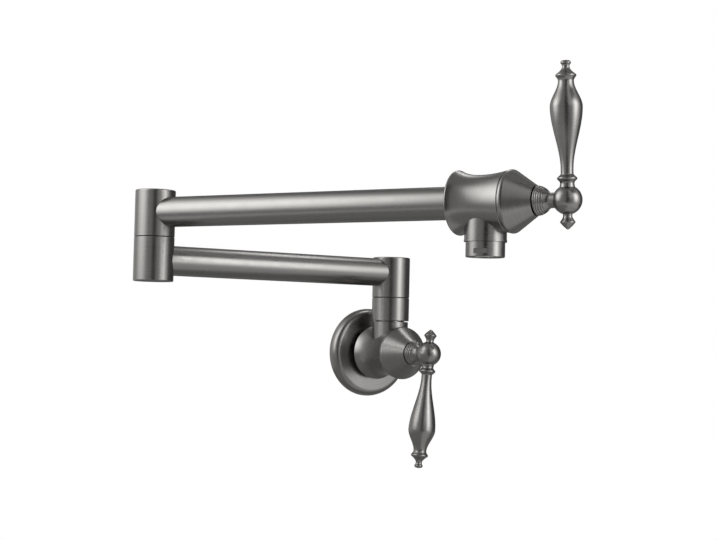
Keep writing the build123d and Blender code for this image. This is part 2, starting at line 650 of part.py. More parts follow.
# ---------------------------------------------------------------- escutcheon on the wall
def escutcheon_pieces():
    """Flange round the wall valve's shank, its soft gasket and its grip ring, drawn from the wall."""
    bore = SHANK_RADIUS + ESCUTCHEON_BORE_GAP
    edge = (ESCUTCHEON_EDGE, ESCUTCHEON_RADIUS)
    crown = (CROWN_HEIGHT, CROWN_RADIUS)
    side_pull = (edge[0] + CROWN_RISE, edge[1] - CROWN_LEAN)
    face_pull = (crown[0] - CROWN_FALL, crown[1] + CROWN_RUN)
    mouth = CROWN_HEIGHT + FACE_RISE
    flange = turned(
        Polyline((0, bore), (0, ESCUTCHEON_RADIUS), edge),
        Bezier(edge, side_pull, face_pull, crown),
        Polyline(crown, (mouth, bore), (0, bore)),
    )
    flange -= ring_x(-PAST, GASKET_RECESS, GASKET_INNER, GASKET_OUTER)
    half = GRIP_RING_SECTION / 2 + EASE
    groove_floor = SHANK_RADIUS + 2 * half
    flange -= ring_x(GRIP_RING_AT - half, GRIP_RING_AT + half, SHANK_RADIUS, groove_floor)
    grip_half = GRIP_RING_SECTION / 2
    grip_outer = groove_floor - EASE
    grip = ring_x(GRIP_RING_AT - grip_half, GRIP_RING_AT + grip_half, SHANK_RADIUS + EASE, grip_outer)
    gasket = ring_x(EASE, GASKET_RECESS - EASE, GASKET_INNER + EASE, GASKET_OUTER - EASE)
    return {"escutcheon": flange, "escutcheon_gasket": gasket, "escutcheon_grip_ring": grip}


# ---------------------------------------------------------------- swivel on the wall valve
def swivel_nut():
    roof = NUT_TOP - NUT_LIP
    outside = rod_z(NUT_BOTTOM, NUT_TOP, COLUMN_RADIUS)
    outside = chamfer(outside.edges().filter_by(GeomType.CIRCLE), EDGE_BREAK)
    nut = outside - rod_z(NUT_BOTTOM - PAST, roof, NECK_RADIUS + FIXED)
    return nut - rod_z(roof - PAST, NUT_TOP + PAST, JOURNAL_RADIUS + 2 * RUNNING)


def slip_bottom():
    return NUT_TOP - NUT_LIP - SLIP_THICKNESS - EASE


def clip_bottom():
    return slip_bottom() - EASE - CLIP_THICKNESS


def journal_ring_heights():
    """Two seals side by side near the journal's foot."""
    low = JOURNAL_END + JOURNAL_TOE
    return [low, low + cord_spacing(RING_SECTION)]


def tube_cut(height):
    """Seat for an arm tube in a column, with the waterway behind it."""
    seat = rod_x(TUBE_SEAT, 2 * COLUMN_RADIUS, TUBE_RADIUS + FIXED)
    return Pos(0, 0, height) * (seat + rod_x(0, TUBE_SEAT + PAST, WATERWAY_RADIUS))


def column(bottom, top, free_end):
    """Upright round column, rounded at its free end (0 below, -1 above) and chamfered at its joint line."""
    body = rod_z(bottom, top, COLUMN_RADIUS)
    body = fillet(body.edges().filter_by(GeomType.CIRCLE).sort_by(Axis.Z)[free_end], COLUMN_ROUND)
    return chamfer(body.edges().filter_by(GeomType.CIRCLE).sort_by(Axis.Z)[-1 - free_end], EDGE_BREAK)


def wall_socket():
    """Socket that the inner tube enters, with a hollow journal that turns in the stub."""
    body = column(SOCKET_BOTTOM, SOCKET_TOP, -1)
    body += rod_z(JOURNAL_END, SOCKET_BOTTOM, JOURNAL_RADIUS)
    body -= rod_z(JOURNAL_END - PAST, SOCKET_TOP - CHAMBER_ROOF, WATERWAY_RADIUS)
    body -= tube_cut(INNER_ARM_Z)
    groove_floor = JOURNAL_RADIUS - CLIP_DEPTH
    body -= ring_z(clip_bottom() - EASE, slip_bottom(), groove_floor, JOURNAL_RADIUS + PAST)
    for height in journal_ring_heights():
        body -= ring_groove(RING_SECTION, JOURNAL_RADIUS + RUNNING, height)
    return body


def retaining_ring():
    inner = JOURNAL_RADIUS - CLIP_DEPTH + FIXED
    ring = split_ring(0, CLIP_THICKNESS, inner, NECK_RADIUS - 2 * WASHER_GAP)
    return Pos(0, 0, clip_bottom() + CLIP_THICKNESS) * Rot(0, 90, 0) * ring


def journal_rings():
    ring = seal_ring(RING_SECTION, JOURNAL_RADIUS + RUNNING)
    return Compound(children=[Pos(0, 0, height) * ring for height in journal_ring_heights()])


# ---------------------------------------------------------------- arms and elbow
def arm_tube(start, end, height):
    outside = rod_x(start, end, TUBE_RADIUS)
    return Pos(0, 0, height) * (outside - rod_x(start - PAST, end + PAST, TUBE_RADIUS - TUBE_WALL))


def lower_elbow():
    """End of the inner arm.  Its mirror image across the column carries the tube towards -x."""
    body = column(ELBOW_BOTTOM, ELBOW_SEAM, 0)
    body -= rod_z(ELBOW_BOTTOM + CHAMBER_ROOF, ELBOW_SEAM + PAST, SPINDLE_RADIUS + FIXED)
    body -= rod_z(ELBOW_SEAM - SPINDLE_FLANGE_HEIGHT, ELBOW_SEAM + PAST, SPINDLE_FLANGE + FIXED)
    body -= Rot(0, 0, 180) * tube_cut(INNER_ARM_Z)
    return Pos(INNER_ARM_LENGTH, 0, 0) * body


def spindle_ring_heights():
    low = UPPER_BOTTOM + GRUB_HEIGHT + GRUB_RADIUS + RUNNING + CORD_LAND + RING_SECTION / 2 + EASE
    return [low, low + cord_spacing(RING_SECTION)]


def elbow_spindle():
    """Hollow pivot screwed into the lower socket, with a locking groove and two seal grooves."""
    body = rod_z(ELBOW_SEAM - SPINDLE_ROOT, UPPER_BOTTOM + SPINDLE_REACH, SPINDLE_RADIUS)
    body += rod_z(ELBOW_SEAM - SPINDLE_FLANGE_HEIGHT, ELBOW_SEAM, SPINDLE_FLANGE)
    body -= rod_z(ELBOW_BOTTOM, ELBOW_TOP, SPINDLE_BORE)
    middle = UPPER_BOTTOM + GRUB_HEIGHT
    half = GRUB_RADIUS + RUNNING
    body -= ring_z(middle - half, middle + half, SPINDLE_RADIUS - GRUB_GROOVE_DEPTH, SPINDLE_RADIUS + PAST)
    for height in spindle_ring_heights():
        body -= ring_groove(RING_SECTION, SPINDLE_RADIUS + RUNNING, height)
    return Pos(INNER_ARM_LENGTH, 0, 0) * body


def spindle_rings():
    ring = seal_ring(RING_SECTION, SPINDLE_RADIUS + RUNNING)
    rings = [Pos(INNER_ARM_LENGTH, 0, height) * ring for height in spindle_ring_heights()]
    return Compound(children=rings)


def elbow_slip_washer():
    top = ELBOW_SEAM + ELBOW_SLIP_THICKNESS
    return Pos(INNER_ARM_LENGTH, 0, 0) * ring_z(ELBOW_SEAM, top, SPINDLE_RADIUS + RUNNING, ELBOW_SLIP_RADIUS)


def upper_elbow():
    """Start of the outer arm, which turns on the spindle."""
    body = column(UPPER_BOTTOM, ELBOW_TOP, -1)
    body -= rod_z(UPPER_BOTTOM - PAST, ELBOW_TOP - CHAMBER_ROOF, SPINDLE_RADIUS + RUNNING)
    recess_top = ELBOW_SEAM + ELBOW_SLIP_THICKNESS + EASE
    body -= rod_z(UPPER_BOTTOM - PAST, recess_top, ELBOW_SLIP_RADIUS + RUNNING)
    body -= tube_cut(OUTER_ARM_Z)
    return body - grub_place() * rod_z(0, COLUMN_RADIUS, GRUB_RADIUS + FIXED)


def grub_place():
    """The locking screw stands in the back of the column, its foot in the spindle's groove."""
    foot = SPINDLE_RADIUS - GRUB_GROOVE_DEPTH + 2 * RUNNING
    return Pos(-foot, 0, UPPER_BOTTOM + GRUB_HEIGHT) * Rot(0, -90, 0)


def elbow_grub_screw():
    foot = SPINDLE_RADIUS - GRUB_GROOVE_DEPTH + 2 * RUNNING
    return grub_place() * socket_head_grub(GRUB_RADIUS, COLUMN_RADIUS - foot - GRUB_SUNK)


# ---------------------------------------------------------------- aerator
def aerator_housing():
    """Screwed ring with two wrench flats and an inturned lip that holds the insert."""
    bore = AERATOR_RADIUS - AERATOR_WALL - FIXED
    housing = rod_z(-AERATOR_BOTTOM, -AERATOR_TOP, AERATOR_RADIUS)
    rim_edge = housing.edges().filter_by(GeomType.CIRCLE).sort_by(Axis.Z)[:1]
    housing = chamfer(rim_edge, AERATOR_CHAMFER)
    housing += rod_z(-AERATOR_TOP - PAST, -NOZZLE_LENGTH + AERATOR_THREAD_LENGTH, AERATOR_THREAD_RADIUS)
    housing -= rod_z(-AERATOR_BOTTOM + AERATOR_LIP, 0, bore)
    housing -= rod_z(-AERATOR_BOTTOM - PAST, 0, bore - AERATOR_LIP)
    flat_distance = math.sqrt(AERATOR_RADIUS**2 - (FLAT_WIDTH / 2) ** 2)
    flat = Box(FLAT_CUTTER, FLAT_WIDTH, FLAT_HEIGHT, align=(Align.MIN, Align.CENTER, Align.MAX))
    for side in (0, 180):
        housing -= Rot(0, 0, FLAT_TURN + side) * Pos(flat_distance, 0, -AERATOR_TOP - FLAT_DROP) * flat
    return housing


def jet_places():
    """Middle hole and hexagonal rings of holes round it."""
    places = [(0, 0)]
    for ring in range(1, JET_RINGS + 1):
        for corner in range(6):
            start = Vector(ring * JET_PITCH, 0, 0).rotate(Axis.Z, 60 * corner)
            step = Vector(JET_PITCH, 0, 0).rotate(Axis.Z, 60 * corner + 120)
            for index in range(ring):
                spot = start + step * index
                places.append((spot.X, spot.Y))
    return places


def aerator_insert():
    """Plastic cup with a plate of small jets."""
    radius = AERATOR_RADIUS - AERATOR_WALL - 2 * FIXED
    bottom = -AERATOR_BOTTOM + AERATOR_LIP
    top = screen_bottom()
    cup = rod_z(bottom, top, radius) - rod_z(bottom + JET_PLATE, top + PAST, radius - INSERT_WALL)
    for x, y in jet_places():
        cup -= Pos(x, y, 0) * rod_z(bottom - PAST, bottom + JET_PLATE + PAST, JET_RADIUS)
    return cup


def screen_bottom():
    return -NOZZLE_LENGTH + AERATOR_THREAD_LENGTH - SCREEN_DROP - SCREEN_THICKNESS


def aerator_screen():
    radius = AERATOR_RADIUS - AERATOR_WALL - 2 * FIXED
    return rod_z(screen_bottom(), screen_bottom() + SCREEN_THICKNESS, radius)


def aerator_gasket():
    top = -THREAD_ROOF
    return ring_z(top - GASKET_THICKNESS, top, GASKET_BORE, AERATOR_THREAD_RADIUS - 2 * FIXED)


# ---------------------------------------------------------------- the whole pot filler
def wall_pieces():
    from_wall = Plane(origin=(0, 0, 0), x_dir=(0, -1, 0), z_dir=(0, 0, 1))
    placed = {name: from_wall * piece for name, piece in escutcheon_pieces().items()}
    fixed = {"wall_valve_body": wall_body(), **valve_inside("wall"), "swivel_nut": swivel_nut()}
    return placed | {name: WALL_VALVE * piece for name, piece in fixed.items()}


def inner_arm_pieces():
    slip_top = slip_bottom() + SLIP_THICKNESS
    slip = ring_z(slip_bottom(), slip_top, JOURNAL_RADIUS + RUNNING, NECK_RADIUS - WASHER_GAP)
    pieces = {
        "wall_socket": wall_socket(),
        "retaining_ring": retaining_ring(),
        "nut_slip_washer": slip,
        "journal_o_rings": journal_rings(),
        "inner_tube": arm_tube(TUBE_SEAT, INNER_ARM_LENGTH - TUBE_SEAT, INNER_ARM_Z),
        "elbow_lower_socket": lower_elbow(),
        "elbow_spindle": elbow_spindle(),
        "elbow_o_rings": spindle_rings(),
        "elbow_slip_washer": elbow_slip_washer(),
    }
    return {name: INNER_ARM * piece for name, piece in pieces.items()}


def outer_arm_pieces():
    tube_end = OUTER_ARM_LENGTH - CASTING_BACK + TUBE_ENTRY
    arm = {
        "elbow_upper_socket": upper_elbow(),
        "elbow_grub_screw": elbow_grub_screw(),
        "outer_tube": arm_tube(TUBE_SEAT, tube_end, OUTER_ARM_Z),
    }
    valve = {
        "spout_valve_body": spout_body(),
        **valve_inside("spout"),
        "aerator_housing": aerator_housing(),
        "aerator_insert": aerator_insert(),
        "aerator_screen": aerator_screen(),
        "aerator_gasket": aerator_gasket(),
    }
    placed = {name: OUTER_ARM * piece for name, piece in arm.items()}
    return placed | {name: SPOUT_VALVE * piece for name, piece in valve.items()}


def handles():
    """The wall lever hangs down and the spout lever stands up, each with its lean."""
    wall_turn = Rot(180 + WALL_LEVER_LEAN, 0, 0)
    spout_turn = Rot(SPOUT_LEVER_LEAN, 0, 0)
    wall = {name: WALL_VALVE * wall_turn * piece for name, piece in handle_pieces("wall").items()}
    return wall | {name: SPOUT_VALVE * spout_turn * piece for name, piece in handle_pieces("spout").items()}


def build_all():
    os.makedirs("parts", exist_ok=True)
    pieces = wall_pieces() | inner_arm_pieces() | outer_arm_pieces() | handles()
    for name, piece in pieces.items():
        export_step(piece, f"parts/{name}.step")


build_all()
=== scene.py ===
import json
import math

import bpy
import numpy as np
from mathutils import Matrix, Vector


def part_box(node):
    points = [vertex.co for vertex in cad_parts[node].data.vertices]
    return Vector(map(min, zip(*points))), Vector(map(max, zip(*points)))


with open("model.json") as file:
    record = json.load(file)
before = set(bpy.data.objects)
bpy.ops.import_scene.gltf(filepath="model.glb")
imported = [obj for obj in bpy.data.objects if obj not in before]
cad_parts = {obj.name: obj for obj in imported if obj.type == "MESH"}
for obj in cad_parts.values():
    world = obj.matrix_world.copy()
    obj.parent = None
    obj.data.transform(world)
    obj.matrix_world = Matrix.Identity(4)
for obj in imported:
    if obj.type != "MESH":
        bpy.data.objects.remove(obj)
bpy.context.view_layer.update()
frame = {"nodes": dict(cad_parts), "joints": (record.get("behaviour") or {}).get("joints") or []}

MM = 0.001
UP = Vector((0, 0, 1))
WHITE = (1, 1, 1, 1)
# a Mix node's sockets for colours
MIX_SHARE, MIX_FIRST, MIX_SECOND, MIX_COLOUR = 0, 6, 7, 2


# ---------------------------------------------------------------- helpers for materials
def linear(hex_colour):
    """sRGB hex to the linear colour that a shader socket takes."""
    channels = [int(hex_colour[i:i + 2], 16) / 255 for i in (1, 3, 5)]
    curve = [c / 12.92 if c <= 0.04045 else ((c + 0.055) / 1.055) ** 2.4 for c in channels]
    return (*curve, 1.0)


def node(tree, kind, settings=None, inputs=None):
    """Adds a node, sets its properties, and fills or links its inputs."""
    made = tree.nodes.new(kind)
    for key, value in (settings or {}).items():
        setattr(made, key, value)
    for key, value in (inputs or {}).items():
        if isinstance(value, bpy.types.NodeSocket):
            tree.links.new(value, made.inputs[key])
        else:
            made.inputs[key].default_value = value
    return made


def new_material(name):
    """A material with an empty node tree, and that tree."""
    material = bpy.data.materials.new(name)
    material.use_nodes = True
    material.node_tree.nodes.clear()
    return material, material.node_tree


def dress(names, material):
    """Gives CAD nodes a material in place of the one that they came with."""
    for name in names:
        mesh = frame["nodes"][name].data
        mesh.materials.clear()
        mesh.materials.append(material)


# ---------------------------------------------------------------- places taken from the frame
JOINTS = {joint["name"]: joint for joint in frame["joints"]}


def joint_place(name):
    return Vector(JOINTS[name]["pos_m"])


def joint_axis(name):
    return Vector(JOINTS[name]["axis"]).normalized()


def foot_of(place):
    """Point below or above a place, at the height of the inlet."""
    return Vector((place.x, place.y, 0))


POST = joint_place("swing_wall")
ELBOW = joint_place("swing_elbow")
WALL = joint_place("wall_handle_turn")
SPOUT = joint_place("spout_handle_turn")
WALL_AXIS = joint_axis("wall_handle_turn")
SPOUT_AXIS = joint_axis("spout_handle_turn")
INNER_WAY = (foot_of(ELBOW) - foot_of(POST)).normalized()
INNER_TUBE_START = Vector((POST.x, POST.y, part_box("inner_tube")[0].z))
BALL_REACH = 57.2 * MM         # from a valve's upright axis to the middle of its lever's ball

# ---------------------------------------------------------------- brushed gunmetal
GUNMETAL = "#807f7d"           # dark nickel over brass
GUNMETAL_DEEP = "#787775"      # the same plate where the brush cut deeper
SATIN = 0.26                   # roughness that spreads a highlight into a soft band
CLOUD_SPREAD = 0.025           # how far the clouds move the roughness each way
LINE_GRIT = 0.06               # how much rougher the brush lines are than the plate between them
BRUSH_PITCH = 0.22 * MM        # about twice as coarse as a 240 grit belt leaves it, so it shows
BRUSH_RUN = 14 * MM            # length of a brush line before it fades
BRUSH_RELIEF = 0.004 * MM      # height of the brush lines
LEVER_RELIEF = 0.002 * MM      # the same on the levers and finials
CLOUD_SIZE = 9 * MM            # soft unevenness left by hand polishing
# what a step out of the axis counts beside a step along it, so that end faces have lines as well
OUTWARD_SHARE = 0.9


def frame_of(axis, origin):
    """Euler turn and shift that carry a piece's place to one with its own x along the axis."""
    axis = axis.normalized()
    side = UP.cross(axis).normalized() if abs(axis.z) < 0.9 else Vector((0, 1, 0))
    turn = Matrix((axis, side, axis.cross(side)))
    return turn.to_euler(), -(turn @ origin)


def lines_along(tree, local):
    """Place in a noise that is stretched along the axis: a drawn tube is brushed lengthwise."""
    stretch = (1 / BRUSH_RUN, 1 / BRUSH_PITCH, 1 / BRUSH_PITCH)
    return node(tree, "ShaderNodeVectorMath", {"operation": "MULTIPLY"},
                {0: local, 1: stretch}).outputs["Vector"]


def lines_round(tree, local):
    """Place in a noise that is stretched round the axis: a turned piece is brushed as it spins.

    Across the lines goes the distance along the axis plus a share of the distance out of it, which
    is the root of the other two coordinates squared and added.
    """
    parts = node(tree, "ShaderNodeSeparateXYZ", inputs={"Vector": local}).outputs
    squares = [node(tree, "ShaderNodeMath", {"operation": "MULTIPLY"},
                    {0: parts[i], 1: parts[i]}).outputs[0] for i in (1, 2)]
    total = node(tree, "ShaderNodeMath", {"operation": "ADD"},
                 {0: squares[0], 1: squares[1]}).outputs[0]
    outward = node(tree, "ShaderNodeMath", {"operation": "SQRT"}, {0: total}).outputs[0]
    across = node(tree, "ShaderNodeMath", {"operation": "MULTIPLY_ADD"},
                  {0: outward, 1: OUTWARD_SHARE, 2: parts[0]}).outputs[0]
    pitched = node(tree, "ShaderNodeMath", {"operation": "DIVIDE"},
                   {0: across, 1: BRUSH_PITCH}).outputs[0]
    run_y, run_z = [node(tree, "ShaderNodeMath", {"operation": "DIVIDE"},
                         {0: parts[i], 1: BRUSH_RUN}).outputs[0] for i in (1, 2)]
    return node(tree, "ShaderNodeCombineXYZ",
                inputs={0: pitched, 1: run_y, 2: run_z}).outputs[0]


def brushed_gunmetal(name, axis, origin, lines_at, relief=BRUSH_RELIEF):
    """Dark nickel plate on brass, brushed and lacquered.

    To the eye it is a warm grey satin that spreads each light into a soft band, with fine lines and
    faint clouds in it.  The lines are a stretched noise, which sets colour, roughness and height
    together.
    """
    material, tree = new_material(name)
    euler, shift = frame_of(axis, origin)
    place = node(tree, "ShaderNodeTexCoord").outputs["Object"]
    local = node(tree, "ShaderNodeMapping", {"vector_type": "POINT"},
                 {"Vector": place, "Location": shift, "Rotation": euler}).outputs["Vector"]
    lines = node(tree, "ShaderNodeTexNoise", {"noise_dimensions": "3D"},
                 {"Vector": lines_at(tree, local), "Scale": 1.0, "Detail": 2.0,
                  "Roughness": 0.6}).outputs["Fac"]
    clouds = node(tree, "ShaderNodeTexNoise", {"noise_dimensions": "3D"},
                  {"Vector": local, "Scale": 1 / CLOUD_SIZE, "Detail": 3.0,
                   "Roughness": 0.55}).outputs["Fac"]
    tone = node(tree, "ShaderNodeMapRange",
                inputs={"Value": lines, "From Min": 0.3, "From Max": 0.7,
                        "To Min": 0.0, "To Max": 1.0}).outputs[0]
    colour = node(tree, "ShaderNodeMix", {"data_type": "RGBA"},
                  {MIX_SHARE: tone, MIX_FIRST: linear(GUNMETAL_DEEP),
                   MIX_SECOND: linear(GUNMETAL)}).outputs[MIX_COLOUR]
    satin = node(tree, "ShaderNodeMapRange",
                 inputs={"Value": clouds, "From Min": 0.3, "From Max": 0.7,
                         "To Min": SATIN - CLOUD_SPREAD,
                         "To Max": SATIN + CLOUD_SPREAD}).outputs[0]
    gritty = node(tree, "ShaderNodeMath", {"operation": "MULTIPLY_ADD"},
                  {0: lines, 1: LINE_GRIT, 2: satin}).outputs[0]
    bump = node(tree, "ShaderNodeBump",
                inputs={"Height": lines, "Strength": 0.35, "Distance": relief}).outputs[0]
    plate = node(tree, "ShaderNodeBsdfPrincipled",
                 inputs={"Base Color": colour, "Metallic": 1.0, "Roughness": gritty,
                         "Normal": bump}).outputs[0]
    node(tree, "ShaderNodeOutputMaterial", inputs={"Surface": plate})
    return material


# axis that the brush runs round, a point on it, and the CAD nodes that were turned on it
TURNED = {
    "gunmetal_turned_wall_valve": (
        WALL_AXIS, WALL, ["wall_valve_body", "wall_bonnet", "escutcheon", "wall_handle_hub"]),
    "gunmetal_turned_spout_valve": (
        SPOUT_AXIS, SPOUT, ["spout_valve_body", "spout_bonnet", "spout_handle_hub"]),
    "gunmetal_turned_post": (UP, foot_of(POST), ["swivel_nut", "wall_socket"]),
    "gunmetal_turned_elbow": (
        UP, foot_of(ELBOW), ["elbow_lower_socket", "elbow_upper_socket"]),
    "gunmetal_turned_nozzle": (UP, foot_of(SPOUT), ["aerator_housing"]),
}
# axis that the brush runs along, a point on it, and the tube that was drawn along it
DRAWN = {
    "gunmetal_drawn_inner_tube": (INNER_WAY, INNER_TUBE_START, ["inner_tube"]),
    "gunmetal_drawn_outer_tube": (SPOUT_AXIS, SPOUT, ["outer_tube"]),
}
for name, (axis, origin, pieces) in TURNED.items():
    dress(pieces, brushed_gunmetal(name, axis, origin, lines_round))
for name, (axis, origin, pieces) in DRAWN.items():
    dress(pieces, brushed_gunmetal(name, axis, origin, lines_along))

# a lever and its finial are turned on one line, from the ball through the middle of the lever's box
for valve, axis, origin in (("wall", WALL_AXIS, WALL), ("spout", SPOUT_AXIS, SPOUT)):
    ball = origin + axis * BALL_REACH
    low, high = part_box(valve + "_lever")
    lever_way = ((low + high) / 2 - ball).normalized()
    dress([valve + "_lever", valve + "_finial"],
          brushed_gunmetal(f"gunmetal_turned_{valve}_lever", lever_way, ball, lines_round,
                           LEVER_RELIEF))

# ---------------------------------------------------------------- finishes of the inner pieces
GRAIN_SPREAD = 0.05            # how far the grain moves the roughness each way
GRAIN_RELIEF = 0.01 * MM       # height of the grain

# the CAD's slot: material, colour, colour in the grain's hollows, grain in mm, metallic, roughness
INNER_FINISHES = {
    # free cutting brass, machined: warm yellow, with a soft shine broken up by the tool's marks
    "plain_brass": ("plain_brass_machined", "#c9a45c", "#b8934b", 0.4, 1.0, 0.30),
    # stainless steel, turned and pressed: a cool pale grey, brighter than the plate round it
    "stainless_steel": ("stainless_steel_turned", "#b9b8b4", "#a3a29e", 0.3, 1.0, 0.28),
    # alumina, lapped flat: chalky cream with a dull sheen, like unglazed china
    "white_ceramic": ("alumina_lapped", "#efece3", "#e4e0d4", 0.5, 0.0, 0.35),
    # nitrile rubber, moulded: a flat black that hardly shines
    "black_rubber": ("black_rubber_moulded", "#1d1d1d", "#141414", 0.4, 0.0, 0.60),
    # nylon, moulded: milky off-white with a soft, slightly waxy shine
    "pale_nylon": ("nylon_washer_moulded", "#dcdcd4", "#cfcfc6", 0.6, 0.0, 0.45),
}


def grained(name, hex_colour, hex_deep, grain, metallic, roughness):
    """A plain finish with a fine grain: colour, roughness and height follow one noise."""
    material, tree = new_material(name)
    place = node(tree, "ShaderNodeTexCoord").outputs["Object"]
    noise = node(tree, "ShaderNodeTexNoise",
                 inputs={"Vector": place, "Scale": 1 / (grain * MM), "Detail": 3.0,
                         "Roughness": 0.6}).outputs["Fac"]
    colour = node(tree, "ShaderNodeMix", {"data_type": "RGBA"},
                  {MIX_SHARE: noise, MIX_FIRST: linear(hex_deep),
                   MIX_SECOND: linear(hex_colour)}).outputs[MIX_COLOUR]
    rough = node(tree, "ShaderNodeMapRange",
                 inputs={"Value": noise, "From Min": 0.25, "From Max": 0.75,
                         "To Min": roughness - GRAIN_SPREAD,
                         "To Max": roughness + GRAIN_SPREAD}).outputs[0]
    bump = node(tree, "ShaderNodeBump",
                inputs={"Height": noise, "Strength": 0.4, "Distance": GRAIN_RELIEF}).outputs[0]
    shader = node(tree, "ShaderNodeBsdfPrincipled",
                  inputs={"Base Color": colour, "Metallic": metallic, "Roughness": rough,
                          "Normal": bump}).outputs[0]
    node(tree, "ShaderNodeOutputMaterial", inputs={"Surface": shader})
    return material


FINISH_OF_SLOT = {slot: grained(*numbers) for slot, numbers in INNER_FINISHES.items()}
for name, piece in frame["nodes"].items():
    slot = piece.data.materials[0].name.split(".")[0] if piece.data.materials else ""
    if slot in FINISH_OF_SLOT:
        dress([name], FINISH_OF_SLOT[slot])

# ---------------------------------------------------------------- studio
# A soft box on each side of the camera and a small one high at the back, inside a tent of felt that
# only the metal sees.  The felt stands in for the dark room and grey boards that give brushed metal
# its dark edges and bands.  Lamps and felt are placed for the photo's view.
VIEW_YAW = math.radians(30.71)     # the photo's camera looks this far to the right of +Y
FORWARD = Vector((math.sin(VIEW_YAW), math.cos(VIEW_YAW), 0))
RIGHT = Vector((math.cos(VIEW_YAW), -math.sin(VIEW_YAW), 0))
MIDDLE = Vector((-0.09, -0.16, 0.05))
AMBIENT = 0.6                  # strength of the white world where it lights diffuse surfaces
EDGE_FALL = 1.5                # power that rounds off a soft box's brightness towards its edges
FELT_COLUMNS, FELT_ROWS = 25, 17

# azimuth, elevation, distance, width, height (m) and brightness at the middle of each soft box
SOFT_BOXES = {
    "right_soft_box": (60, 17, 1.20, 0.95, 1.70, 4.5),
    "left_soft_box": (-77, 28, 0.65, 0.84, 1.02, 4.1),
    "hair_soft_box": (160, 55, 0.60, 0.35, 0.17, 5.6),
}
# azimuth from and to, elevation from and to, distance (m), and the shade that the felt is lit to.
# The low felts hang nearer than the others, because further out the floor would hide them.
FELTS = {
    "back_felt": (96, 205, -25, 30, 1.3, 0.12),
    "back_left_felt": (205, 264, -35, 30, 1.3, 0.70),
    "back_top_felt": (96, 222, 30, 62, 1.3, 0.30),
    "back_left_top_felt": (222, 264, 30, 62, 1.3, 0.85),
    "left_felt": (264, 306, -30, 62, 1.3, 0.45),
    "front_left_felt": (306, 349, -30, 62, 1.3, 0.50),
    "front_felt": (349, 371, -30, 62, 1.3, 0.0),
    "front_right_felt": (371, 400, -30, 8, 1.3, 0.45),
    "right_top_felt": (400, 440, 36, 62, 1.3, 0.05),
    "low_back_felt": (96, 232, -89, -20, 0.5, 0.32),
    "low_left_felt": (232, 372, -89, -30, 0.5, 0.42),
    "low_right_felt": (12, 96, -89, -30, 0.5, 0.85),
    "top_felt": (0, 360, 62, 89, 1.3, 0.42),
}


def studio_way(azimuth, elevation):
    """Direction from the object, in degrees: 0 is towards the camera, + to the camera's right."""
    a, e = math.radians(azimuth), math.radians(elevation)
    return (RIGHT * math.sin(a) - FORWARD * math.cos(a)) * math.cos(e) + UP * math.sin(e)


def soft_box(name, azimuth, elevation, distance, width, height, brightness):
    """Area lamp that is brightest in its middle.

    Towards each edge it falls off as the sine of the way across, to the power of EDGE_FALL.
    """
    lamp = bpy.data.lights.new(name, "AREA")
    lamp.shape = "RECTANGLE"
    lamp.size, lamp.size_y = width, height
    lamp.energy = brightness * math.pi * width * height
    lamp.use_nodes = True
    tree = lamp.node_tree
    tree.nodes.clear()
    spot = node(tree, "ShaderNodeNewGeometry").outputs["Parametric"]
    across = node(tree, "ShaderNodeSeparateXYZ", inputs={0: spot}).outputs
    falls = []
    for side in (0, 1):
        turn = node(tree, "ShaderNodeMath", {"operation": "MULTIPLY"},
                    {0: across[side], 1: math.pi}).outputs[0]
        wave = node(tree, "ShaderNodeMath", {"operation": "SINE"}, {0: turn}).outputs[0]
        falls.append(node(tree, "ShaderNodeMath", {"operation": "POWER"},
                          {0: wave, 1: EDGE_FALL}).outputs[0])
    fall = node(tree, "ShaderNodeMath", {"operation": "MULTIPLY"},
                {0: falls[0], 1: falls[1]}).outputs[0]
    glow = node(tree, "ShaderNodeEmission", inputs={"Color": WHITE, "Strength": fall}).outputs[0]
    node(tree, "ShaderNodeOutputLight", inputs={"Surface": glow})
    made = bpy.data.objects.new(name, lamp)
    bpy.context.scene.collection.objects.link(made)
    way = studio_way(azimuth, elevation)
    made.location = MIDDLE + way * distance
    made.rotation_euler = (-way).to_track_quat("-Z", "Y").to_euler()


def felt(name, azimuth_from, azimuth_to, low, high, distance, shade):
    """Part of a sphere round the object, between two azimuths and two elevations.

    Wool felt lit evenly: the metal mirrors it as one flat grey, and neither the camera nor a dull
    surface sees it.
    """
    azimuth, elevation = np.meshgrid(
        np.radians(np.linspace(azimuth_from, azimuth_to, FELT_COLUMNS)),
        np.radians(np.linspace(low, high, FELT_ROWS)))
    right, forward, up = (np.array(way) for way in (RIGHT, FORWARD, UP))
    flat = np.sin(azimuth)[..., None] * right - np.cos(azimuth)[..., None] * forward
    ways = flat * np.cos(elevation)[..., None] + np.sin(elevation)[..., None] * up
    points = np.array(MIDDLE) + distance * ways
    rows, columns = azimuth.shape
    corner = (np.arange(rows - 1)[:, None] * columns + np.arange(columns - 1)).ravel()
    faces = np.stack([corner, corner + 1, corner + columns + 1, corner + columns], axis=1)
    mesh = bpy.data.meshes.new(name)
    mesh.from_pydata(points.reshape(-1, 3).tolist(), [], faces.tolist())
    board = bpy.data.objects.new(name, mesh)
    bpy.context.scene.collection.objects.link(board)
    material, tree = new_material(name + "_wool")
    grey = node(tree, "ShaderNodeEmission",
                inputs={"Color": (shade, shade, shade, 1), "Strength": 1.0}).outputs[0]
    node(tree, "ShaderNodeOutputMaterial", inputs={"Surface": grey})
    mesh.materials.append(material)
    board.visible_camera = False
    board.visible_diffuse = False
    board.visible_shadow = False


for name, numbers in SOFT_BOXES.items():
    soft_box(name, *numbers)
for name, numbers in FELTS.items():
    felt(name, *numbers)


